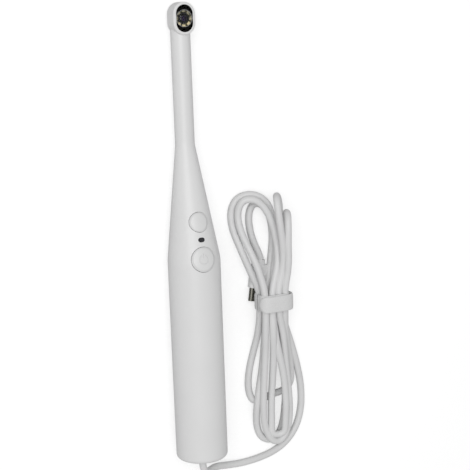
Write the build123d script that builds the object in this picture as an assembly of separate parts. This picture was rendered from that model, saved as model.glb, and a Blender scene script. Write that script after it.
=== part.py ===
from build123d import *
import os
from math import cos, radians, sin, sqrt, tan

# Wired intraoral camera: a hand-held wand that films teeth through a small window in its
# head, with two push buttons and a thin cable folded into a tied hank that ends in a plug.
# Millimetres. The wand lies on its back along Y, head towards +Y, window and buttons
# facing +Z. The origin is on the floor, below the middle of the wand.

# Wand outline
handle_d = 25.0
handle_len = 98.5
flare_len = 53.5
neck_d = 9.2
neck_drop = 5.1            # axis of the neck below the axis of the handle
head_from_flare = 58.0     # front end of the flare to the middle of the head
head_w = 10.8
head_len = 14.8
face_rise = 6.0            # window face above the axis of the neck
back_round = 3.4           # rounding of the head's back edge
face_round = 0.5
tail_round = 2.0
shoulder_round = 22.0      # soft bend where the flare leaves the handle
throat_round = 14.0        # soft bend where the flare meets the neck

# Moulded shells
grip_wall = 1.8
tip_wall = 1.2
lip_h = 1.0
lip_clear = 0.1            # play between the lip and its groove
fit = 0.05                 # clearance of a piece that sits in a recess
post_d = 3.0
screw_d = 1.4
screw_head_d = 2.6
screw_head_h = 0.9

# Window and ring light, as depths below the window face
window_w = 8.1
window_len = 12.35
window_t = 0.5
bezel_t = 0.45
face_wall = 1.5
port_d = 7.8
port_ring_wall = 0.2
led_board_t = 0.6
led_count = 8
led_ring_d = 6.4
led_len = 1.4
led_w = 0.8
led_h = 0.4

# Camera module
barrel_d = 4.9
barrel_bore_d = 3.4
barrel_len = 4.6
lens_d = 4.0
lens_t = 0.9
holder_w = 6.2
holder_len = 6.6
holder_h = 3.4
sensor_w = 4.2
sensor_t = 0.7
sensor_board_w = 6.2
sensor_board_len = 7.4
sensor_board_t = 0.5
sensor_board_lift = 0.7    # board above the floor of the head's cavity
flex_w = 3.6
flex_t = 0.2

# Main circuit board
board_w = 18.0
board_nose_w = 12.0
board_len = 78.0
board_nose_len = 14.0
board_t = 1.0
board_below_axis = 1.6     # top of the board below the axis of the handle
board_tail_gap = 16.0      # end of the board from the tail of the wand
board_screw_in = 7.0       # screws from the middle line and from the ends of the wide part
connector_w = 7.0
connector_len = 4.0
connector_h = 1.8
header_w = 8.0
header_len = 6.0
header_h = 3.4
processor_w = 10.0
processor_h = 1.3
memory_w = 6.5
memory_len = 5.0
memory_h = 1.0
component_w = 1.6
component_len = 0.9
component_h = 0.7
component_pitch = 3.0

# Push buttons, measured along the flare from its wide end
button_tilt = 10.0         # lean of the button board and of both strokes
power_at = 1.5
power_d = 11.6
capture_at = 19.0
capture_d = 9.2
button_gap = 0.2           # gap around each cap
button_proud = 0.35
button_wall = 1.3
button_flange = 0.7        # rim inside the shell that keeps the cap in
button_flange_t = 0.6
flange_drop = 0.35         # play above the rim
stem_d = 3.0
stroke = 0.3
indicator_at = 10.7
indicator_w = 3.2
indicator_h = 2.1
indicator_shoulder = 0.6
indicator_sunk = 0.2
indicator_led_h = 0.6
button_board_w = 12.0
button_board_t = 1.0
button_board_depth = 8.0   # below the wide end of the flare, square to the strokes
button_board_back = 9.8
button_board_front = 25.0
post_across = 4.3
post_back = 7.6
switch_w = 5.2
switch_h = 1.5
plunger_d = 2.4
plunger_up = 0.6
plunger_in = 0.5
plunger_clear = 0.3

# Cable
cord_d = 3.5
grommet_d = 6.4
grommet_flange_d = 8.6
grommet_flange_t = 1.0
collar_d = 5.4
collar_len = 2.5
clamp_w = 11.0
clamp_len = 4.0
clamp_t = 1.4
clamp_from_tail = 7.0
cord_clear = 0.3           # between the hank and what lies in it
bend_share = 0.45          # of the shorter of two runs, taken up by the bend between them

# Tie around the hank
tie_x = 43.5
tie_y = -39.8
tie_lift = 3.9             # the bundle rests on the plug's tip
tie_w = 8.0
tie_t = 1.2
bundle_w = 14.2
bundle_h = 9.6
tie_corner = 4.0

# Plug, a small reversible one
prong_w = 8.3
prong_h = 2.6
prong_out = 6.7
prong_buried = 2.0
prong_wall = 0.3
tongue_w = 6.6
tongue_t = 0.7
tongue_out = 5.2
contact_count = 12
contact_w = 0.25
contact_len = 3.6
contact_t = 0.08
contact_pitch = 0.5
mould_w = 9.8
mould_h = 5.0
mould_len = 12.0
mould_round = 2.0
relief_d = 4.6
relief_len = 2.5
plug_tip_x = 36.6
plug_tip_y = -38.2
plug_turn = 9.0            # tip turned from -Y towards -X

# Places that follow from the sizes
wand_len = handle_len + flare_len + head_from_flare + head_len / 2
tail_y = -wand_len / 2
flare_y = tail_y + handle_len
neck_y = flare_y + flare_len
head_y = neck_y + head_from_flare
handle_r = handle_d / 2
neck_r = neck_d / 2
axis_z = handle_r
neck_z = axis_z - neck_drop
face_z = neck_z + face_rise
window_z = face_z - fit - window_t
bezel_z = window_z - bezel_t
port_z = face_z - face_wall
cavity_z = neck_z - neck_r + tip_wall
sensor_board_z = cavity_z + sensor_board_lift
holder_z = sensor_board_z + sensor_board_t
board_z = axis_z - board_below_axis
board_y = tail_y + board_tail_gap
board_end_y = board_y + board_len
nose_end_y = board_end_y + board_nose_len

parts = {}


def station(y, z, x=0.0):
    """Plane square to the wand at y, centred on (x, z)."""
    return Plane(origin=(x, y, z), x_dir=(1, 0, 0), z_dir=(0, 1, 0))


def rod(diameter, low, high):
    """Cylinder on Z between two heights."""
    return Pos(0, 0, low) * extrude(Circle(diameter / 2), high - low)


def slab(width, length, low, high):
    """Box centred on Z between two heights."""
    return Pos(0, 0, low) * extrude(Rectangle(width, length), high - low)


def tube(outer_d, inner_d, low, high):
    return rod(outer_d, low, high) - rod(inner_d, low, high)


def stadium(width, length, low, high):
    """Prism with straight sides along Y and round ends, between two heights."""
    outline = Rot(0, 0, 90) * SlotOverall(length, width)
    return Pos(0, 0, low) * extrude(outline, high - low)


def at_head(shape):
    return Pos(0, head_y, 0) * shape


def wand_solid(grip_in, tip_in, face_in, edge_round=0.0):
    """The wand's outline, moved inwards by an amount of its own at the grip, the tip and the face."""
    grip_r = handle_r - grip_in
    tip_r = neck_r - tip_in
    grip = extrude(station(tail_y + grip_in, axis_z) * Circle(grip_r), handle_len - grip_in)
    flare = loft([station(flare_y, axis_z) * Circle(grip_r), station(neck_y, neck_z) * Circle(tip_r)])
    neck = extrude(station(neck_y, neck_z) * Circle(tip_r), head_from_flare)
    stem = grip + flare + neck
    stem = fillet([e for e in stem.edges() if abs(e.center().Y - flare_y) < fit], shoulder_round)
    stem = fillet([e for e in stem.edges() if abs(e.center().Y - neck_y) < fit], throat_round)
    tail = [e for e in stem.edges().filter_by(GeomType.CIRCLE) if e.center().Y < tail_y + grip_in + fit]
    stem = fillet(tail, max(tail_round - grip_in, 0.4))
    back_z = neck_z - neck_r + tip_in
    head = stadium(head_w - 2 * tip_in, head_len - 2 * tip_in, back_z, face_z - face_in)
    head = fillet(head.edges().group_by(Axis.Z)[0], back_round - tip_in)
    if edge_round:
        head = fillet(head.edges().group_by(Axis.Z)[-1], edge_round)
    return stem + at_head(head)


def region(points, reach=40.0):
    """Prism across the whole wand over an outline of (y, z) points."""
    return extrude(Plane.YZ * make_face(Polyline(*points, close=True)), reach, both=True)


def parting(lower, upper):
    """Everything between two heights above the seam, which follows the axes of handle and neck."""
    start = tail_y - handle_d
    end = head_y + head_len
    seam = [(start, axis_z), (flare_y, axis_z), (neck_y, neck_z), (end, neck_z)]
    low = [(y, z + lower) for y, z in seam]
    high = [(y, z + upper) for y, z in reversed(seam)]
    return region(low + high)


def ribbon(points, bend):
    """Flat flexible cable along (y, z) points."""
    line = Plane.YZ * FilletPolyline(*points, radius=bend)
    start = line @ 0
    along = line % 0
    face = Plane(origin=start, x_dir=(1, 0, 0), z_dir=along) * Rectangle(flex_w, flex_t)
    return sweep(face, path=line)


# Frame of the buttons: x across, y along the flare towards the head, z out of the shell
tilt = radians(button_tilt)
controls = Plane(origin=(0, flare_y, handle_d), x_dir=(1, 0, 0), z_dir=(0, sin(tilt), cos(tilt))).location
slope = (handle_d - neck_z - neck_r) / flare_len


def at_controls(along, shape, across=0.0):
    return controls * Pos(across, along, 0) * shape


def skin(along):
    """Height of the shell's front line in the frame of the buttons, and its radius there."""
    y = along * cos(tilt)
    height = -y * slope
    radius = handle_r + (neck_r - handle_r) * y / flare_len
    return height * cos(tilt) + y * sin(tilt), radius


outer = wand_solid(0, 0, 0, face_round)
inner = wand_solid(grip_wall, tip_wall, face_wall)
lip = wand_solid(grip_wall / 2, tip_wall / 2, face_wall / 2) - inner
groove = wand_solid(grip_wall / 2 - lip_clear, tip_wall / 2 - lip_clear, face_wall / 2) - inner
proud = wand_solid(-button_proud, -button_proud, 0)
walls = outer - inner

# Posts that carry the button board: places along the flare and across it
post_places = [(indicator_at, post_across), (indicator_at, -post_across), (-post_back, 0)]
board_top = -button_board_depth
button_places = {"power": (power_at, power_d), "capture": (capture_at, capture_d)}

# Front shell
front = walls & parting(0, 60)
front += lip & parting(-lip_h, 0)
front += [at_controls(at, rod(post_d, board_top, 2), x) & outer for at, x in post_places]
front -= [at_controls(at, rod(screw_d, board_top, board_top + 3), x) for at, x in post_places]
for at, cap_d in button_places.values():
    front -= at_controls(at, rod(cap_d + 2 * button_gap, board_top, 4))
slot_top, slot_radius = skin(indicator_at)
pipe = SlotOverall(indicator_w, indicator_h)
front -= at_controls(indicator_at, Pos(0, 0, slot_top - 4) * extrude(offset(pipe, fit), 6))
front -= at_head(stadium(window_w + 2 * fit, window_len + 2 * fit, bezel_z, face_z + 1))
front -= at_head(rod(port_d + 2 * fit, port_z - 1, face_z))

# Rear shell
rear = walls & parting(-60, 0)
rear -= groove & parting(-lip_h - lip_clear, 0)
clamp_y = tail_y + clamp_from_tail
cord_top = axis_z + cord_d / 2
saddle = Pos(0, clamp_y, 0) * slab(clamp_w, clamp_len, 0, cord_top) & outer
channel = extrude(station(tail_y, axis_z) * Circle(cord_d / 2), 2 * clamp_from_tail)
saddle -= channel + Pos(0, clamp_y, 0) * slab(cord_d, 2 * clamp_len, axis_z, cord_top + 1)
rear += saddle
clamp_screw_x = (clamp_w + cord_d) / 4
clamp_screws = [(x, clamp_y) for x in (-clamp_screw_x, clamp_screw_x)]
rear -= [Pos(x, y, 0) * rod(screw_d, cord_top - 3.5, cord_top + 1) for x, y in clamp_screws]
board_screw_x = board_w / 2 - board_screw_in / 3
board_screws = [(x, y) for x in (-board_screw_x, board_screw_x)
                for y in (board_y + board_screw_in, board_end_y - board_screw_in)]
rear += [Pos(x, y, 0) * rod(post_d, 0, board_z - board_t) & outer for x, y in board_screws]
rear -= [Pos(x, y, 0) * rod(screw_d, board_z - board_t - 3, board_z) for x, y in board_screws]
rest_len = 1.2
rest = slab(holder_w - 1, rest_len, cavity_z - fit, sensor_board_z)
rest_y = (sensor_board_len - rest_len) / 2
rear += [at_head(Pos(0, y, 0) * rest) for y in (-rest_y, rest_y)]

# Grommet, held in the end wall between the two shells
wall_y = tail_y + grip_wall
grommet_profile = [
    (cord_d / 2, wall_y + grommet_flange_t),
    (grommet_flange_d / 2, wall_y + grommet_flange_t),
    (grommet_flange_d / 2, wall_y),
    (grommet_d / 2, wall_y),
    (grommet_d / 2, tail_y),
    (collar_d / 2, tail_y),
    (collar_d / 2 - 0.5, tail_y - collar_len),
    (cord_d / 2, tail_y - collar_len),
]
grommet = revolve(make_face(Polyline(*grommet_profile, close=True)), Axis.Y)
grommet_hole = extrude(station(tail_y - 1, axis_z) * Circle(grommet_d / 2), grip_wall + 1)
front -= grommet_hole
rear -= grommet_hole
parts["cable_grommet"] = Pos(0, 0, axis_z) * grommet
parts["front_shell"] = front
parts["rear_shell"] = rear

# Window, black mask and ring light in the head
window = stadium(window_w, window_len, window_z, window_z + window_t)
bezel = stadium(window_w, window_len, bezel_z, window_z) - rod(port_d + 2 * fit, bezel_z - 1, face_z)
parts["front_window"] = at_head(window)
parts["window_bezel"] = at_head(bezel)
parts["port_ring"] = at_head(tube(port_d, port_d - 2 * port_ring_wall, port_z, window_z - fit))
led_board_d = head_w - 2 * tip_wall - 4 * fit
led_board_hole = barrel_d + 6 * fit
parts["led_board"] = at_head(tube(led_board_d, led_board_hole, port_z - led_board_t, port_z))
led = slab(led_len, led_w, port_z, port_z + led_h)
leds = [at_head(Rot(0, 0, 360 * i / led_count) * Pos(0, -led_ring_d / 2, 0) * led) for i in range(led_count)]
parts["ring_leds"] = Compound(children=leds)

# Camera module
barrel_top = holder_z + holder_h - 1 + barrel_len
lens_seat = barrel_top - lens_t / 2
barrel = rod(barrel_d, barrel_top - barrel_len, barrel_top)
barrel -= rod(barrel_bore_d, barrel_top - barrel_len - 1, barrel_top)
barrel -= rod(lens_d + 2 * fit, lens_seat, barrel_top + 1)
parts["lens_barrel"] = at_head(barrel)
dome_r = (lens_d ** 2 / 4 + lens_t ** 2 / 4) / lens_t
dome = Pos(0, 0, lens_seat + lens_t - dome_r) * Sphere(dome_r)
parts["front_lens"] = at_head(rod(lens_d, lens_seat, lens_seat + lens_t) & dome)
holder = slab(holder_w, holder_len, holder_z, holder_z + holder_h)
holder = fillet(holder.edges().filter_by(Axis.Z), 1)
holder -= rod(barrel_d, barrel_top - barrel_len, barrel_top)
holder -= slab(sensor_w + 6 * fit, sensor_w + 6 * fit, holder_z, barrel_top - barrel_len - 0.4)
holder -= rod(barrel_bore_d, holder_z, barrel_top)
parts["camera_holder"] = at_head(holder)
parts["image_sensor"] = at_head(slab(sensor_w, sensor_w, holder_z, holder_z + sensor_t))
parts["sensor_board"] = at_head(slab(sensor_board_w, sensor_board_len, sensor_board_z, holder_z))

# Main board and what it carries
board = Pos(0, (board_y + board_end_y) / 2, 0) * slab(board_w, board_len, board_z - board_t, board_z)
nose_y = board_end_y + board_nose_len / 2
board += Pos(0, nose_y, 0) * slab(board_nose_w, board_nose_len, board_z - board_t, board_z)
board -= [Pos(x, y, 0) * rod(screw_d, board_z - 2, board_z + 1) for x, y in board_screws]
parts["main_board"] = board
header = Pos(0, board_y + header_len / 2, 0) * slab(header_w, header_len, board_z, board_z + header_h)
parts["cable_header"] = header
connector = slab(connector_w, connector_len, board_z, board_z + connector_h)
button_connector_y = board_end_y - 7
sensor_connector = Pos(0, nose_end_y - connector_len / 2, 0) * connector
button_connector = Pos(0, button_connector_y, 0) * connector
parts["flex_connectors"] = Compound(children=[sensor_connector, button_connector])
processor_y = board_y + 0.55 * board_len
memory_y = processor_y - processor_w - memory_len
processor = slab(processor_w, processor_w, board_z, board_z + processor_h)
parts["image_processor"] = Pos(0, processor_y, 0) * processor
memory = slab(memory_w, memory_len, board_z, board_z + memory_h)
memory_x = memory_w / 2 + 1
parts["memory_chips"] = Compound(children=[Pos(x, memory_y, 0) * memory for x in (-memory_x, memory_x)])
component = slab(component_w, component_len, board_z, board_z + component_h)
row_back = memory_y - memory_len
row_front = processor_y + processor_w / 2 + 2
rows = [row_back - component_pitch * i for i in range(4)] + [row_front + component_pitch * i for i in range(3)]
components = [Pos(x, y, 0) * component for x in (-component_pitch, component_pitch) for y in rows]
parts["board_components"] = Compound(children=components)


def screw(length):
    """Pan-head screw, its head standing on height 0."""
    return rod(screw_head_d, 0, screw_head_h) + rod(screw_d, -length, 0)


board_screw = Pos(0, 0, board_z) * screw(board_t + 3)
parts["main_board_screws"] = Compound(children=[Pos(x, y, 0) * board_screw for x, y in board_screws])

# Inner end of the cable and its clamp
cable_start = tail_y - collar_len
parts["inner_cable"] = extrude(station(cable_start, axis_z) * Circle(cord_d / 2), board_y - cable_start)
clamp = Pos(0, clamp_y, 0) * slab(clamp_w, clamp_len, cord_top, cord_top + clamp_t)
clamp -= [Pos(x, y, 0) * rod(screw_d, cord_top - 1, cord_top + clamp_t + 1) for x, y in clamp_screws]
parts["cable_clamp"] = clamp
clamp_screw = Pos(0, 0, cord_top + clamp_t) * screw(clamp_t + 3)
parts["clamp_screws"] = Compound(children=[Pos(x, y, 0) * clamp_screw for x, y in clamp_screws])

# Ribbon from the camera module to the main board, rising in the flare
ribbon_z = sensor_board_z + sensor_board_t / 2
plug_in_z = board_z + connector_h / 2
sensor_route = [
    (head_y - sensor_board_len / 2, ribbon_z),
    (neck_y - 2, ribbon_z),
    (nose_end_y + 7, plug_in_z),
    (nose_end_y, plug_in_z),
]
parts["sensor_flex"] = ribbon(sensor_route, 4)

# Button board, its screws from below and its ribbon
button_board = Pos(0, (button_board_front - button_board_back) / 2, 0) * slab(
    button_board_w, button_board_front + button_board_back, board_top - button_board_t, board_top)
button_board = fillet(button_board.edges().filter_by(Axis.Z), 2)
button_board -= [Pos(x, at, 0) * rod(screw_d, board_top - 2, board_top + 1) for at, x in post_places]
parts["button_board"] = controls * button_board
under_screw = Rot(180, 0, 0) * screw(button_board_t + 3)
parts["button_board_screws"] = Compound(children=[
    at_controls(at, Pos(0, 0, board_top - button_board_t) * under_screw, x) for at, x in post_places])
flex_start = (controls * Pos(0, -button_board_back, board_top - button_board_t / 2)).position
connector_back = button_connector_y - connector_len / 2
button_route = [
    (flex_start.Y, flex_start.Z),
    (connector_back - 5, flex_start.Z + 1.5),
    (connector_back - 5, plug_in_z),
    (connector_back, plug_in_z),
]
parts["button_flex"] = ribbon(button_route, 1.5)

# Switches, and the two buttons with the plungers they push
switch_top = board_top + switch_h
switch = slab(switch_w, switch_w, board_top, switch_top)
switch -= rod(plunger_d + 2 * fit, switch_top - plunger_in - plunger_clear - stroke, switch_top + 1)
plunger = rod(plunger_d, switch_top - plunger_in, switch_top + plunger_up)
for name, (at, cap_d) in button_places.items():
    top, radius = skin(at)
    flange_r = cap_d / 2 + button_flange
    flange_top = top - radius + sqrt((radius - grip_wall) ** 2 - flange_r ** 2) - flange_drop
    flange_low = flange_top - button_flange_t
    hollow_top = top - radius + sqrt(radius ** 2 - cap_d ** 2 / 4) - button_wall
    cap = rod(cap_d, flange_low, 4) & (controls * Pos(0, at, 0)).inverse() * proud
    cap += rod(2 * flange_r, flange_low, flange_top)
    cap -= rod(cap_d - 2 * button_wall, flange_low - 1, hollow_top)
    cap += rod(stem_d, switch_top + plunger_up, hollow_top)
    parts[name + "_button"] = at_controls(at, cap)
    parts[name + "_plunger"] = at_controls(at, plunger)
    parts[name + "_switch"] = at_controls(at, switch)

# Light guide between the buttons and the lamp under it
led_top = board_top + indicator_led_h
guide = Pos(0, 0, led_top + fit) * extrude(pipe, slot_top - indicator_sunk - led_top - fit)
shoulder = Pos(0, 0, slot_top - 4) * extrude(offset(pipe, indicator_shoulder), 4)
inside = (controls * Pos(0, indicator_at, 0)).inverse() * inner
guide += shoulder & inside
parts["indicator_lens"] = at_controls(indicator_at, guide)
parts["indicator_led"] = at_controls(indicator_at, slab(1.6, 0.8, board_top, led_top))

# Cable outside the wand: a bent run on the floor, then the tied hank
lead_route = [
    (0, tail_y - collar_len, axis_z),
    (0, -116, axis_z),
    (3.6, -118.9, 10.2),
    (9.4, -118.7, 5.8),
    (18.6, -121.1, 2.4),
    (26.8, -121.7, 1.75),
    (35.3, -121.0, 1.75),
    (44.4, -119.1, 1.75),
    (52.4, -114.8, 1.75),
    (58.4, -107.3, 1.75),
    (61.2, -97.2, 1.75),
    (61.2, -85.9, 1.75),
    (59.0, -73.7, 1.75),
    (57.3, -68.0, 1.75),
]


def bend_radii(points):
    """Radius of each bend: an equal share of the shorter run beside it."""
    radii = []
    for a, b, c in zip(points, points[1:], points[2:]):
        first = Vector(*b) - Vector(*a)
        second = Vector(*c) - Vector(*b)
        half_turn = radians(first.get_angle(second)) / 2
        radii.append(round(bend_share * min(first.length, second.length) / tan(half_turn), 2))
    return radii


def hose(points, diameter):
    """Round cable along straight runs joined by arcs."""
    line = FilletPolyline(*points, radius=bend_radii(points))
    face = Plane(origin=line @ 0, z_dir=line % 0) * Circle(diameter / 2)
    return sweep(face, path=line), line.length


lead, lead_len = hose(lead_route, cord_d)
parts["cord_lead"] = lead

# Outer shape of the hank as sections: y, lowest and highest x, lowest and highest z
tie_back = tie_y - tie_w / 2
tie_front = tie_y + tie_w / 2
bundle_low = tie_lift + tie_t
bundle_high = bundle_low + bundle_h
bundle_left = tie_x - bundle_w / 2
bundle_right = tie_x + bundle_w / 2
hank_sections = [
    (16.5, 27, 46, 1, 17),
    (8, 23, 54, 0, 20.3),
    (0, 23, 56, 0, 20.2),
    (-10, 25.4, 56, 0, 19.4),
    (-20, 29, 54.7, 0, 18),
    (-30, 33, 52.4, 2, 16),
    (tie_front, bundle_left, bundle_right, bundle_low, bundle_high),
    (tie_back, bundle_left, bundle_right, bundle_low, bundle_high),
    (-52, 35, 54, 2, 13.3),
    (-60, 33, 56, 0, 12.2),
    (-66, 31.5, 60.2, 0, 12),
    (-72, 30, 58.6, 0, 11.8),
    (-80, 29.2, 58.2, 0, 11.6),
    (-90, 30.4, 58.4, 0, 11.2),
    (-104, 33, 54, 0, 9.6),
    (-114.5, 38.5, 49.5, 0, 6.6),
]


def hank_section(y, x_low, x_high, z_low, z_high):
    width = x_high - x_low
    height = z_high - z_low
    place = station(y, (z_low + z_high) / 2, (x_low + x_high) / 2)
    return place * RectangleRounded(width, height, min(width, height) * 0.3)


hank = loft([hank_section(*row) for row in hank_sections], ruled=True)
lead_pocket, pocket_len = hose(lead_route, cord_d + 2 * cord_clear)
hank -= lead_pocket

# Tie: a flat ring around the bundle with a second layer lying on top
ring_w = bundle_w + 2 * tie_t
ring_h = bundle_h + 2 * tie_t
tie_place = station(tie_back, tie_lift + ring_h / 2, tie_x)
tie = extrude(tie_place * RectangleRounded(ring_w, ring_h, tie_corner), tie_w)
tie -= extrude(tie_place * RectangleRounded(bundle_w, bundle_h, bundle_h * 0.3), tie_w)
flap_low = tie_lift + ring_h
flap = Pos(tie_x, tie_y, 0) * slab(ring_w - 2 * tie_corner, tie_w, flap_low, flap_low + tie_t)
parts["cable_tie"] = tie + flap

# Plug, lying flat: z of its own frame runs from the moulding to the tip, x points up
turn = radians(plug_turn)
tip_way = (-sin(turn), -cos(turn), 0)
plug_root = (plug_tip_x + prong_out * sin(turn), plug_tip_y + prong_out * cos(turn), mould_h / 2)
plug = Plane(origin=plug_root, x_dir=(0, 0, 1), z_dir=tip_way).location


def plug_bar(thick, wide, low, high):
    """Prism with round short sides along the plug."""
    return Pos(0, 0, low) * extrude(Rot(0, 0, 90) * SlotOverall(wide, thick), high - low)


shell = plug_bar(prong_h, prong_w, -prong_buried, prong_out)
shell -= plug_bar(prong_h - 2 * prong_wall, prong_w - 2 * prong_wall, -prong_buried, prong_out + 1)
tongue = slab(tongue_t, tongue_w, -prong_buried, tongue_out)
contact = slab(contact_t, contact_w, tongue_out - contact_len - 0.3, tongue_out - 0.3)
contact_x = (tongue_t + contact_t) / 2
contact_y = [contact_pitch * (i - (contact_count - 1) / 2) for i in range(contact_count)]
contacts = [Pos(x, y, 0) * contact for x in (-contact_x, contact_x) for y in contact_y]
mould = Pos(0, 0, -mould_len) * extrude(RectangleRounded(mould_h, mould_w, mould_round), mould_len)
mould = fillet(mould.edges().group_by(Axis.Z)[0], 1.2)
mould = fillet(mould.edges().group_by(Axis.Z)[-1], 0.5)
mould += rod(relief_d, -mould_len - relief_len, -mould_len + 1)
mould -= plug_bar(prong_h, prong_w, -prong_buried, 1)
parts["plug_overmould"] = plug * mould
parts["plug_shell"] = plug * shell
parts["plug_tongue"] = plug * tongue
parts["plug_contacts"] = Compound(children=[plug * piece for piece in contacts])

# Room for the plug in the hank
room = Pos(0, 0, -mould_len - cord_clear) * extrude(
    RectangleRounded(mould_h + 2 * cord_clear, mould_w + 2 * cord_clear, mould_round), mould_len + 2 * cord_clear)
room += rod(relief_d + 2 * cord_clear, -mould_len - relief_len, 0)
room += plug_bar(prong_h + 2 * cord_clear, prong_w + 2 * cord_clear, 0, prong_out + 4)
hank -= plug * room
parts["cord_hank"] = hank

os.makedirs("parts", exist_ok=True)
for name, shape in parts.items():
    shape.label = name
    export_step(shape, "parts/" + name + ".step")
print("lead length", round(lead_len, 1), "bends", bend_radii(lead_route))
print("nodes", len(parts))
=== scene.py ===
import math

import bpy
import numpy as np
from mathutils import Matrix, Vector


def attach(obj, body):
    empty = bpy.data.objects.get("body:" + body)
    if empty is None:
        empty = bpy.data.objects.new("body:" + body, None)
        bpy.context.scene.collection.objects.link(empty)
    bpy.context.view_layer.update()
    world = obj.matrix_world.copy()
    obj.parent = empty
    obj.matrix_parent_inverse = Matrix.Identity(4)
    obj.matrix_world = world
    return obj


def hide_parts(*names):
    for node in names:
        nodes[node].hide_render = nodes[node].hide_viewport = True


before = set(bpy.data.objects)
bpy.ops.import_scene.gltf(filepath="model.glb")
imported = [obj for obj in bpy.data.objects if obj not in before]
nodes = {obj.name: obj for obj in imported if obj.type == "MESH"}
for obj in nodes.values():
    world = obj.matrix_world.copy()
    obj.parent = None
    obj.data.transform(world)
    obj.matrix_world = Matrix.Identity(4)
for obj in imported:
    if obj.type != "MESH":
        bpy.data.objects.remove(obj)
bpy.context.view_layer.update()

# Camera: close above the wand's tail half, leaning over from its left, with a long lens so
# that the wand hardly tapers. It was fitted to the outline of the wand in the photograph.
camera_data = bpy.data.cameras.new("camera")
camera_data.sensor_width = 36.0
camera_data.lens = 87.93
camera = bpy.data.objects.new("camera", camera_data)
camera_right = Vector((0.9031, -0.0347, 0.4279))
camera_up = Vector((0.1112, 0.9816, -0.1551))
camera_back = camera_right.cross(camera_up)
camera.matrix_world = Matrix((camera_right, camera_up, camera_back)).transposed().to_4x4()
camera.location = (-0.20628, 0.10172, 0.50222)
bpy.context.scene.collection.objects.link(camera)
bpy.context.scene.camera = camera
bpy.context.scene.view_settings.view_transform = "Standard"


# Cable: one white 3.5 mm cable of soft plastic, clamped inside the handle. It leaves the grommet,
# turns along the floor to the right, where it follows the route of cord_lead, and is folded five
# times up and four times down through the tie, into the plug.
class Shade:
    """A node socket that shader maths can be written with: + - * and methods that return sockets."""

    def __init__(self, tree, socket):
        self.tree = tree
        self.socket = socket

    def node(self, kind, out=0, settings=(), **inputs):
        """Adds a node of this kind, sets its settings and inputs, and returns one output. An input
        is given by its name, or as i and its number where names repeat."""
        node = self.tree.nodes.new(kind)
        for key, value in dict(settings).items():
            setattr(node, key, value)
        for key, value in inputs.items():
            index = int(key[1:]) if key[1:].isdigit() else key
            if isinstance(value, Shade):
                self.tree.links.new(value.socket, node.inputs[index])
            else:
                node.inputs[index].default_value = value
        return Shade(self.tree, node.outputs[out])

    def math(self, operation, *others):
        inputs = {f"i{n}": value for n, value in enumerate((self, *others))}
        return self.node("ShaderNodeMath", settings={"operation": operation}, **inputs)

    def __add__(self, other):
        return self.math("ADD", other)

    def __sub__(self, other):
        return self.math("SUBTRACT", other)

    def __mul__(self, other):
        return self.math("MULTIPLY", other)

    def ramp(self, low, high, dark=0.0, light=1.0):
        """Maps low..high onto dark..light, smoothly and clamped."""
        settings = {"interpolation_type": "SMOOTHSTEP"}
        inputs = {"i1": low, "i2": high, "i3": dark, "i4": light}
        return self.node("ShaderNodeMapRange", settings=settings, i0=self, **inputs)

    def mix(self, low, high):
        """Colour between two colours, low where this is 0 and high where it is 1."""
        settings = {"data_type": "RGBA"}
        inputs = {"i0": self, "i6": (*low, 1.0), "i7": (*high, 1.0)}
        return self.node("ShaderNodeMix", out=2, settings=settings, **inputs)

    def noise(self, scale, detail=2.0, roughness=0.5):
        inputs = {"Scale": scale, "Detail": detail, "Roughness": roughness}
        return self.node("ShaderNodeTexNoise", Vector=self, **inputs)

    def axis(self, index):
        return self.node("ShaderNodeSeparateXYZ", out=index, i0=self)

    def bump(self, strength, distance):
        """Normal that follows this height, in metres of distance at full strength."""
        return self.node("ShaderNodeBump", Height=self, Strength=strength, Distance=distance)


def new_material(name):
    """A material with one Principled shader: returns it, the shader and the object coordinates."""
    material = bpy.data.materials.new(name)
    material.use_nodes = True
    tree = material.node_tree
    shader = tree.nodes["Principled BSDF"]
    place = Shade(tree, tree.nodes.new("ShaderNodeTexCoord").outputs["Object"])
    return material, shader, place


def link(shader, **inputs):
    """Sets the shader's inputs: a number or colour as a constant, a Shade as a link."""
    for key, value in inputs.items():
        socket = shader.inputs[key.replace("_", " ")]
        if isinstance(value, Shade):
            value.tree.links.new(value.socket, socket)
        else:
            socket.default_value = value


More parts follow.
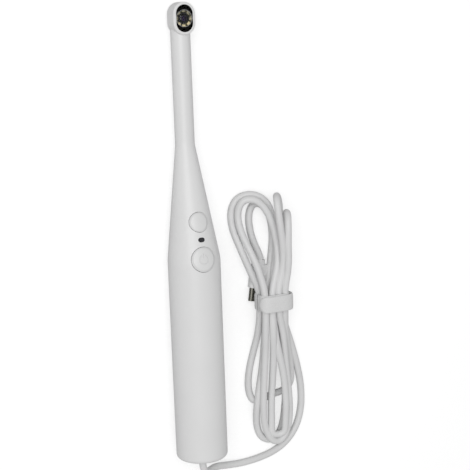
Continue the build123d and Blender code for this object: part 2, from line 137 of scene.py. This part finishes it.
cable_radius = 0.00175
cable_points_mm = [
    # out of the grommet and along the floor
    (0.0, -111.2, 12.5), (0.0, -116.0, 12.5), (3.6, -118.9, 10.2), (9.4, -118.7, 5.8),
    (18.6, -121.1, 2.4), (26.8, -121.7, 1.75), (35.3, -121.0, 1.75), (44.4, -119.1, 1.75),
    (52.4, -114.8, 1.75), (58.4, -107.3, 1.75), (61.2, -97.2, 1.75), (61.2, -85.9, 1.75),
    (59.0, -73.7, 1.75), (55.4, -61.8, 2.6),
    # up through the tie, over the last loop at the right and down again
    (47.4, -42.2, 6.8), (47.4, -32.2, 6.8),
    (52.6, -20.0, 4.6), (54.2, -10.8, 2.4), (54.7, -3.2, 2.2), (52.9, 3.0, 5.5), (50.6, 6.7, 11.0),
    (48.7, 6.2, 16.0), (47.7, 0.9, 18.2), (47.7, -9.1, 17.6), (48.2, -19.3, 16.6),
    (47.4, -32.2, 12.9), (47.4, -42.2, 12.9),
    (50.2, -54.2, 7.0), (53.9, -66.3, 2.8), (55.8, -76.5, 1.8), (55.4, -84.2, 1.8), (50.6, -87.6, 1.8),
    (44.6, -88.2, 1.8), (38.4, -90.0, 1.8), (32.9, -90.0, 1.8), (30.8, -82.7, 1.8), (31.8, -73.5, 1.8),
    (34.8, -63.5, 1.8), (37.0, -54.0, 3.6),
    # up through the tie and round the wide loop at the left
    (36.8, -42.2, 6.8), (36.8, -32.2, 6.8),
    (31.6, -21.0, 6.9), (27.9, -10.3, 5.2), (25.1, -0.5, 2.2), (24.5, 8.4, 1.9), (27.9, 14.8, 2.6),
    (34.6, 16.4, 4.6), (40.7, 13.8, 5.9), (44.6, 7.9, 6.0), (46.5, -0.8, 6.0), (47.1, -10.8, 7.0),
    (42.1, -32.2, 9.9), (42.1, -42.2, 9.9),
    (43.0, -52.7, 9.4), (44.9, -64.1, 9.8), (47.6, -77.6, 9.8), (48.5, -91.1, 9.3), (48.4, -101.0, 8.2),
    (48.6, -108.6, 6.6), (41.6, -108.6, 5.4), (41.8, -100.6, 5.6), (41.6, -90.8, 6.2), (42.3, -79.0, 7.0),
    (42.6, -65.1, 8.6), (41.0, -53.1, 12.0),
    # up again and round the second loop at the left
    (40.4, -42.2, 12.9), (40.4, -32.2, 12.9),
    (45.2, -17.8, 11.4), (45.2, -8.4, 10.6), (43.6, 0.6, 9.8), (40.7, 8.3, 9.4), (36.1, 13.5, 8.4),
    (30.8, 14.3, 6.6), (27.7, 11.0, 5.2), (27.0, 5.1, 4.6), (28.3, -2.3, 5.6), (31.3, -10.7, 8.2),
    (34.6, -20.6, 11.0),
    (36.8, -32.2, 12.9), (36.8, -42.2, 12.9),
    (37.5, -52.7, 10.4), (38.0, -65.8, 8.2), (36.9, -78.5, 8.2), (36.5, -90.3, 7.6), (37.2, -99.5, 6.0),
    (39.3, -107.3, 5.0), (42.7, -112.5, 5.2), (48.0, -112.4, 5.0), (51.4, -106.4, 5.2), (52.0, -96.5, 6.6),
    (50.4, -84.3, 8.6), (49.6, -70.2, 7.6), (48.4, -54.7, 8.4),
    # up again, over the loop that stands on edge
    (43.8, -42.2, 12.9), (43.8, -32.2, 12.9),
    (46.9, -18.6, 13.8), (45.0, -7.4, 17.0), (42.8, 4.5, 18.6), (41.9, 13.3, 18.4), (44.0, 15.6, 13.5),
    (48.2, 13.9, 6.8), (51.4, 8.2, 2.6), (51.2, -1.1, 1.9), (50.9, -12.6, 2.6),
    (43.8, -32.2, 6.8), (43.8, -42.2, 6.8),
    (48.2, -55.5, 5.0), (50.6, -69.1, 2.8), (50.6, -81.0, 5.2), (50.6, -92.5, 4.2), (50.2, -105.0, 1.9),
    (46.8, -111.6, 1.8), (41.6, -112.6, 1.8), (36.8, -109.4, 1.8), (34.8, -102.5, 2.0), (34.0, -92.9, 4.8),
    (35.6, -82.8, 5.2), (38.7, -71.5, 3.6), (39.8, -57.2, 4.6),
    # up for the last time, round the shaded inner loop and into the plug
    (40.4, -42.2, 6.8), (40.4, -32.2, 6.8),
    (43.7, -23.9, 4.6), (46.2, -15.1, 1.9), (47.3, -6.1, 1.9), (46.3, 3.2, 1.9), (42.8, 9.3, 1.9),
    (38.5, 11.2, 1.9), (35.4, 9.0, 1.9), (34.1, 3.5, 1.9), (35.2, -4.2, 1.9), (37.0, -9.6, 2.1),
    (38.8, -13.6, 2.4), (39.9, -17.26, 2.5),
]
cable_points = np.array(cable_points_mm) / 1000.0
cable_curve = bpy.data.curves.new("cable", "CURVE")
cable_curve.dimensions = "3D"
cable_curve.bevel_depth = cable_radius
cable_curve.bevel_resolution = 7
cable_curve.resolution_u = 10
cable_curve.use_fill_caps = True
cable_line = cable_curve.splines.new("NURBS")
cable_line.points.add(len(cable_points) - 1)
weights = np.ones(len(cable_points))
cable_line.points.foreach_set("co", np.column_stack([cable_points, weights]).ravel())
cable_line.order_u = 3
cable_line.use_endpoint_u = True
cable = bpy.data.objects.new("cable", cable_curve)
bpy.context.scene.collection.objects.link(cable)

cable_material, shader, place = new_material("cable jacket")
fine = place.noise(2600.0, 3.0)
cloud = place.noise(60.0, 2.0)
link(
    shader,
    Base_Color=cloud.ramp(0.3, 0.7).mix((0.80, 0.80, 0.80), (0.84, 0.84, 0.84)),
    Roughness=fine.ramp(0.3, 0.7, 0.38, 0.48),
    Normal=fine.bump(0.25, 0.00005),
)
cable_curve.materials.append(cable_material)
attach(cable, "wand")
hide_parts("cord_lead", "cord_hank")


# Tie: a flat strap of white hook-and-loop, wrapped round the nine strands. Its second layer
# lies on top, with a rounded end at the left, and bulges away from the strands at the right.
tie_width, tie_thickness = 0.0080, 0.0010
tie_y = -0.0372
outer_y = tie_y - 0.0004
outer_round_end = 0.0034


def mesh_object(name, points, faces):
    """An object at the origin whose mesh has these points (metres) and faces, shaded smooth."""
    mesh = bpy.data.meshes.new(name)
    mesh.from_pydata(np.asarray(points, float).reshape(-1, 3).tolist(), [], faces)
    mesh.validate()
    mesh.update()
    mesh.shade_smooth()
    thing = bpy.data.objects.new(name, mesh)
    bpy.context.scene.collection.objects.link(thing)
    return thing


def tube_faces(rings, sides):
    """Quads between the rings of a tube's points, then one face that closes each of its ends."""
    r, s = np.meshgrid(np.arange(rings - 1), np.arange(sides), indexing="ij")
    s2 = (s + 1) % sides
    quads = [r * sides + s, r * sides + s2, (r + 1) * sides + s2, (r + 1) * sides + s]
    first, last = list(range(sides)), list(range((rings - 1) * sides, rings * sides))
    return np.stack(quads, -1).reshape(-1, 4).tolist() + [first, last[::-1]]


def run_along(points):
    """The length along a path up to each of its points."""
    return np.concatenate([[0], np.cumsum(np.linalg.norm(np.diff(points, axis=0), axis=1))])


def smooth_path(points, count, closed=False):
    """Points at even steps along a smooth curve through the given points (a Catmull-Rom curve):
    each span is a cubic whose slope at a point is half the step between that point's neighbours."""
    steps_per_span = 24
    before = points[-1:] if closed else 2 * points[:1] - points[1:2]
    after = points[:2] if closed else 2 * points[-1:] - points[-2:-1]
    q = np.vstack([before, points, after])
    t = np.linspace(0, 1, steps_per_span, endpoint=False)[:, None]
    spans = []
    for a, b, c, d in zip(q, q[1:], q[2:], q[3:]):
        square = (2 * a - 5 * b + 4 * c - d) * t**2
        cube = (3 * b - a - 3 * c + d) * t**3
        spans.append(0.5 * (2 * b + (c - a) * t + square + cube))
    dense = np.vstack(spans + [points[:1] if closed else points[-1:]])
    run = run_along(dense)
    at = np.linspace(0, run[-1], count, endpoint=not closed)
    return np.column_stack([np.interp(at, run, dense[:, k]) for k in range(2)])


def strap(name, path, centre_y, round_end=0.0):
    """A flat band: a path of (x, z) points swept along y, its section a flat bar with soft edges,
    drawn by low powers of the cosine and sine of a full turn. With round_end the width shrinks
    over that length at the path's end, as a half circle."""
    sides, edge_power, face_power = 28, 0.35, 0.8
    along = np.gradient(path, axis=0)
    along /= np.linalg.norm(along, axis=1)[:, None]
    out = np.column_stack([-along[:, 1], along[:, 0]])
    run = run_along(path)
    left = np.clip((run[-1] - run) / max(round_end, 1e-9), 0, 1)
    half = tie_width / 2 - round_end * (1 - np.sqrt(np.clip(1 - (1 - left) ** 2, 0, 1)))
    half = np.maximum(half, tie_thickness / 2)
    turn = np.linspace(0, 2 * np.pi, sides, endpoint=False)
    across = np.sign(np.cos(turn)) * np.abs(np.cos(turn)) ** edge_power
    up = np.sign(np.sin(turn)) * np.abs(np.sin(turn)) ** face_power
    x = path[:, :1] + out[:, :1] * (tie_thickness / 2) * up
    y = centre_y + half[:, None] * across
    z = path[:, 1:] + out[:, 1:] * (tie_thickness / 2) * up
    return mesh_object(name, np.stack([x, y, z], -1), tube_faces(len(path), sides))


inner_path = np.array([
    (34.4, 9.8), (34.5, 6.4), (36.8, 4.7), (42.0, 4.5), (47.4, 4.7), (49.8, 6.7), (50.0, 10.5),
    (49.2, 13.7), (46.2, 15.2), (41.6, 15.4), (37.0, 15.2), (34.9, 13.2),
]) / 1000.0
outer_path = np.array([
    (48.6, 5.0), (50.8, 6.8), (51.6, 9.8), (51.4, 13.0), (49.8, 15.3), (46.6, 16.4),
    (42.0, 16.6), (38.0, 16.5), (35.5, 15.8), (34.1, 14.4), (33.7, 13.4),
]) / 1000.0
inner_rings, outer_rings = 120, 90
tie_inner = strap("tie_inner", smooth_path(inner_path, inner_rings, closed=True), tie_y)
tie_outer = strap("tie_outer", smooth_path(outer_path, outer_rings), outer_y, outer_round_end)
tie_material, shader, place = new_material("tie fabric")
loops = place.noise(1900.0, 4.0, 0.7)
ribs = (place.axis(1) * 9000.0).math("SINE") * 0.5 + 0.5
link(
    shader,
    Base_Color=loops.ramp(0.25, 0.75).mix((0.76, 0.76, 0.76), (0.84, 0.84, 0.84)),
    Roughness=0.75,
    Normal=(loops * 0.7 + ribs * 0.3).bump(0.35, 0.0001),
)
for layer in (tie_inner, tie_outer):
    layer.data.materials.append(tie_material)
    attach(layer, "wand")
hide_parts("cable_tie")


# Plug: a moulded white grip with a short sleeve for the cable, and a metal shell with round sides
# round a black tongue that carries gold contacts. It lies flat under the loops, and the shell's
# metal is painted dark olive as painted shade for the shadow it lies in there.
def dress(node, material):
    """Gives a CAD node its material, with soft shading but sharp edges where faces turn hard."""
    sharp_degrees = 35.0
    thing = nodes[node]
    thing.data.materials.clear()
    thing.data.materials.append(material)
    thing.data.shade_smooth()
    thing.data.set_sharp_from_angle(angle=math.radians(sharp_degrees))
    return thing


def moulded(name, light, dark, roughness, grain=2200.0, depth=0.00004, coat=0.0):
    """Moulded plastic: a little cloudy, with a fine grain in its gloss and surface."""
    material, shader, place = new_material(name)
    fine = place.noise(grain, 3.0)
    cloud = place.noise(45.0, 2.0)
    link(
        shader,
        Base_Color=cloud.ramp(0.3, 0.7).mix(dark, light),
        Roughness=fine.ramp(0.3, 0.7, roughness - 0.04, roughness + 0.04),
        Normal=fine.bump(0.2, depth),
        Coat_Weight=coat,
    )
    return material


def metal(name, colour, roughness):
    """Metal with fine lines across one direction in its gloss and surface."""
    lines_per_metre = (300.0, 4000.0, 300.0)
    line_depth = 0.00002
    material, shader, place = new_material(name)
    stretched = place.node("ShaderNodeMapping", Vector=place, Scale=lines_per_metre)
    lines = stretched.noise(1.0, 3.0)
    darker = tuple(0.82 * c for c in colour)
    link(
        shader,
        Base_Color=lines.ramp(0.3, 0.7).mix(darker, colour),
        Metallic=1.0,
        Roughness=lines.ramp(0.3, 0.7, roughness * 0.8, roughness * 1.25),
        Normal=lines.bump(0.2, line_depth),
    )
    return material


grip_white = moulded("plug grip", (0.86, 0.86, 0.86), (0.83, 0.83, 0.83), roughness=0.42)
# painted shade: a dark olive colour for the shell's metal, for the shadow it lies in under the loops
plug_metal_with_painted_shade = metal("plug metal", (0.23, 0.225, 0.195), roughness=0.3)
tongue_black = moulded("tongue plastic", (0.02, 0.02, 0.02), (0.015, 0.015, 0.015), roughness=0.4)
contact_gold = metal("contact gold", (0.83, 0.62, 0.28), roughness=0.2)
plug_grip = dress("plug_overmould", grip_white)
plug_shell = dress("plug_shell", plug_metal_with_painted_shade)
plug_tongue = dress("plug_tongue", tongue_black)
plug_contacts = dress("plug_contacts", contact_gold)

# Wand shells: two halves of satin white moulded plastic that meet on a hairline seam along the
# sides. A soft white grommet in the end wall closes them round the cable.
white_shell = moulded(
    "white shell", (0.86, 0.86, 0.86), (0.845, 0.845, 0.845), roughness=0.36, grain=1800.0, depth=0.00003
)
dress("front_shell", white_shell)
dress("rear_shell", white_shell)
grommet_rubber = moulded("grommet rubber", (0.84, 0.84, 0.84), (0.81, 0.81, 0.81), roughness=0.6)
dress("cable_grommet", grommet_rubber)

# Window: a flat clear pane, glued flush into the head over a glossy black mask that leaves
# only the round port open.
clear_pane, shader, place = new_material("clear pane")
link(
    shader,
    Base_Color=(0.97, 0.98, 1.0, 1.0),
    Roughness=place.noise(900.0, 2.0).ramp(0.3, 0.7, 0.0, 0.02),
    Transmission_Weight=1.0,
    IOR=1.25,
)
dress("front_window", clear_pane)
black_mask = moulded("black mask", (0.006, 0.006, 0.007), (0.004, 0.004, 0.005), roughness=0.25)
dress("window_bezel", black_mask)

# Port ring: a thin wall of bright metal round the port. It is held between the mask and the
# board of the lamps.
dress("port_ring", metal("port metal", (0.75, 0.74, 0.70), roughness=0.22))

# Ring light: eight flat lamps, soldered to a ring of dark circuit board round the lens. The
# lamps nearer the tail get a painted warm glow; the others only catch the room's light.
lamp_board, shader, place = new_material("lamp board")
traces = (place.noise(1500.0, 0.0) * 12.0).math("SINE").ramp(0.4, 0.6)
link(
    shader,
    Base_Color=traces.mix((0.05, 0.045, 0.015), (0.12, 0.10, 0.03)),
    Roughness=0.35,
    Normal=traces.bump(0.3, 0.00003),
)
dress("led_board", lamp_board)
lamp, shader, place = new_material("lamp")
head_y = 0.1013
painted_glow_reach = 0.003
# painted glow: warm emission only on the lamps towards the tail side of the ring
low = ((place.axis(1) - head_y) * -1.0 + place.axis(0) * 0.3).ramp(0.0, painted_glow_reach)
core = place.noise(2500.0, 1.0).ramp(0.35, 0.65)
link(
    shader,
    Base_Color=core.mix((0.30, 0.26, 0.15), (0.42, 0.38, 0.26)),
    Roughness=0.4,
    Emission_Color=low.mix((0.02, 0.02, 0.01), (0.62, 0.52, 0.30)),
    Emission_Strength=0.7,
)
dress("ring_leds", lamp)

# Camera module: a black barrel with a domed lens, its violet coating painted into its colour as a
# painted violet reflection at the centre, screwed into a holder over the sensor on its own small board.
barrel_black = moulded("barrel black", (0.015, 0.015, 0.016), (0.01, 0.01, 0.011), roughness=0.45)
dress("lens_barrel", barrel_black)
dress("camera_holder", barrel_black)
lens_glass_painted_reflection, shader, place = new_material("lens glass")
across = (place.axis(0).math("POWER", 2.0) + (place.axis(1) - head_y).math("POWER", 2.0)).math("SQRT")
# painted reflection: violet at the centre of the lens, fading to near black towards its rim
link(
    shader,
    Base_Color=across.ramp(0.0004, 0.0016).mix((0.03, 0.015, 0.06), (0.004, 0.003, 0.005)),
    Roughness=0.06,
    Specular_IOR_Level=0.25,
)
dress("front_lens", lens_glass_painted_reflection)
sensor, shader, place = new_material("sensor")
pixels = (place.axis(0) * 60000.0).math("SINE") * (place.axis(1) * 60000.0).math("SINE")
link(shader, Base_Color=pixels.ramp(-1, 1).mix((0.10, 0.08, 0.13), (0.18, 0.15, 0.22)), Roughness=0.25)
dress("image_sensor", sensor)

# Buttons: two caps of the same white plastic that follow the curve of the shell. Each is held by
# its rim inside the shell and presses a brown plunger on a black switch.
def button_cap(name, centre_y, radius, marked):
    """Button plastic whose edge is rounded, with a shallow power sign where it is marked, its groove
    darkened in colour as painted shade. The sign is a ring, open towards the head, round the lower end
    of a bar."""
    lean = 1.015  # the cap leans, so it is this much longer than it is in plan
    edge_width = 0.0009
    ring_radius, bar_centre = 0.0021, 0.0017
    line_core, line_edge = 0.0002, 0.0004
    material, shader, place = new_material(name)
    across = place.axis(0)
    along = (place.axis(1) - centre_y) * lean
    radial = (across * across + along * along).math("SQRT")
    edge = radial.ramp(radius - edge_width, radius)
    fine = place.noise(1800.0, 3.0)
    height = fine * 0.02 - edge
    tone_and_painted_groove_shade = place.noise(60.0, 2.0).ramp(0.3, 0.7)
    if marked:
        side = across.math("ABSOLUTE")
        opening = side.ramp(0.0005, 0.0008).math("MAXIMUM", along.ramp(0.0004, 0.0010, 1.0, 0.0))
        off_ring = (radial - ring_radius).math("ABSOLUTE")
        ring = off_ring.ramp(line_core, line_edge, 1.0, 0.0) * opening
        reach = (along - bar_centre).math("ABSOLUTE").ramp(0.0010, 0.0013, 1.0, 0.0)
        bar = side.ramp(line_core, line_edge, 1.0, 0.0) * reach
        sign = ring.math("MAXIMUM", bar)
        height = height - sign * 0.35
        # painted shade: the sign's groove is also drawn darker in colour
        tone_and_painted_groove_shade = tone_and_painted_groove_shade - sign * 0.8
    link(
        shader,
        Base_Color=tone_and_painted_groove_shade.ramp(-0.8, 1.0).mix((0.80, 0.80, 0.80), (0.87, 0.87, 0.87)),
        Roughness=fine.ramp(0.3, 0.7, 0.30, 0.38),
        Normal=height.bump(0.7, 0.0004),
    )
    return material


power_cap = button_cap("power cap", centre_y=-0.00874, radius=0.0058, marked=True)
capture_cap = button_cap("capture cap", centre_y=0.0083, radius=0.0046, marked=False)
dress("power_button", power_cap)
dress("capture_button", capture_cap)
plunger_brown = moulded("plunger brown", (0.30, 0.16, 0.09), (0.25, 0.13, 0.07), roughness=0.5)
dress("power_plunger", plunger_brown)
dress("capture_plunger", plunger_brown)
chip_black = moulded("chip black", (0.035, 0.035, 0.037), (0.025, 0.025, 0.027), roughness=0.6)
dress("power_switch", chip_black)
dress("capture_switch", chip_black)

# Indicator: a dark light guide of hard plastic, pressed into a slot between the buttons over
# its lamp on the button board.
dark_guide = moulded("dark guide", (0.02, 0.02, 0.025), (0.012, 0.012, 0.016), roughness=0.2, coat=0.5)
dress("indicator_lens", dark_guide)
dress("indicator_led", lamp)

# Circuit boards: green lacquer over copper lines, screwed inside the handle, with the chips,
# connectors, ribbons and cable clamp that the wand needs inside.
board_green, shader, place = new_material("board green")
lines = (place.noise(350.0, 0.0) * 40.0).math("SINE").ramp(0.55, 0.75)
link(
    shader,
    Base_Color=lines.mix((0.01, 0.10, 0.035), (0.03, 0.22, 0.08)),
    Roughness=0.35,
    Normal=lines.bump(0.3, 0.00004),
)
for node in ("main_board", "button_board", "sensor_board"):
    dress(node, board_green)
for node in ("image_processor", "memory_chips", "board_components"):
    dress(node, chip_black)
cream = moulded("connector cream", (0.80, 0.77, 0.68), (0.76, 0.73, 0.64), roughness=0.5)
for node in ("cable_header", "flex_connectors", "cable_clamp"):
    dress(node, cream)
amber, shader, place = new_material("ribbon amber")
tracks = (place.axis(0) * 9000.0).math("SINE").ramp(0.0, 0.4)
link(shader, Base_Color=tracks.mix((0.45, 0.20, 0.03), (0.70, 0.40, 0.09)), Roughness=0.3, Coat_Weight=0.3)
for node in ("sensor_flex", "button_flex"):
    dress(node, amber)
screw_steel = metal("screw steel", (0.62, 0.62, 0.63), roughness=0.3)
for node in ("main_board_screws", "button_board_screws", "clamp_screws"):
    dress(node, screw_steel)
dress("inner_cable", cable_material)

# Floor and light: a plain white floor that shows as white behind the wand and keeps a faint
# shadow, one large soft light overhead and a dim white room.
reach = 3.0
corners = [(-reach, -reach, 0), (reach, -reach, 0), (reach, reach, 0), (-reach, reach, 0)]
floor = mesh_object("floor", corners, [(0, 1, 2, 3)])
floor_material, shader, place = new_material("floor")
seen = Shade(place.tree, place.tree.nodes.new("ShaderNodeLightPath").outputs["Is Camera Ray"])
link(
    shader,
    Base_Color=(0.62, 0.62, 0.62, 1.0),
    Roughness=0.9,
    Emission_Color=seen.mix((0.0, 0.0, 0.0), (1.0, 1.0, 1.0)),
    Emission_Strength=0.56,
)
floor.data.materials.append(floor_material)

key_data = bpy.data.lights.new("key", "AREA")
key_data.shape = "DISK"
key_data.size = 0.8
key_data.energy = 4.1
key = bpy.data.objects.new("key", key_data)
key.location = (-0.40, 0.19, 0.88)
key.rotation_euler = (-key.location).to_track_quat("-Z", "Y").to_euler()
bpy.context.scene.collection.objects.link(key)

world = bpy.data.worlds.new("room")
world.use_nodes = True
background = world.node_tree.nodes["Background"]
background.inputs["Color"].default_value = (1.0, 1.0, 1.0, 1.0)
background.inputs["Strength"].default_value = 0.45
bpy.context.scene.world = world
